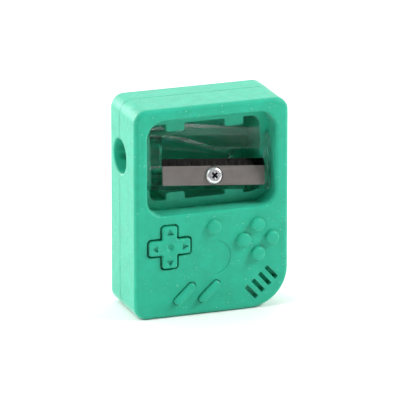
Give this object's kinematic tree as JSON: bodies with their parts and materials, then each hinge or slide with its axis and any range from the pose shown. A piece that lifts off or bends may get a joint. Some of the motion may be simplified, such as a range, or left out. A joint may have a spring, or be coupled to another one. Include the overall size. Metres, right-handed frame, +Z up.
{
  "type": "pencil sharpener",
  "caption": "Pocket pencil sharpener: a soft rubber case shaped like a hand-held game, with a clear wedge sharpener, steel blade and cross-head screw behind its screen window.",
  "frame": {"origin": "the middle of the case's base, where it stands", "axes": "+Z up, -Y out of the front face with the window and the keypad, +X to the right seen from the front; the pencil goes in at the left face (-X)"},
  "size_m": [0.036, 0.0176, 0.048],
  "materials": {
    "case": "soft matte mint green",
    "clear_body": "clear, polished",
    "blade": "satin, with a ground bevel",
    "screw": "bright plated"
  },
  "bodies": {
    "case": {"front_shell": "case", "rear_shell": "case", "direction_pad": "case", "left_menu_key": "case", "right_menu_key": "case", "top_button": "case", "action_button_upper": "case", "action_button_left": "case", "action_button_right": "case", "action_button_lower": "case"},
    "insert": {"sharpener_body": "clear_body"},
    "blade": {"blade": "blade"},
    "screw": {"blade_screw": "screw"}
  },
  "joints": [
    {"name": "insert_slide", "type": "slide", "parent": "case", "child": "insert", "axis": [0, -1, 0], "range_m": [0, 0.014]},
    {"name": "blade_lift", "type": "slide", "parent": "insert", "child": "blade", "axis": [0.025, -0.9613, 0.2745], "range_m": [0, 0.004]},
    {"name": "screw_turn", "type": "hinge", "parent": "blade", "child": "screw", "pos_m": [0.00118, -0.00542, 0.03091], "axis": [0.025, -0.9613, 0.2745], "range_deg": [0, 2880]}
  ],
  "couplings": [
    {"joint": "screw_turn", "follows": "blade_lift", "rad_per_m": 12566}
  ]
}
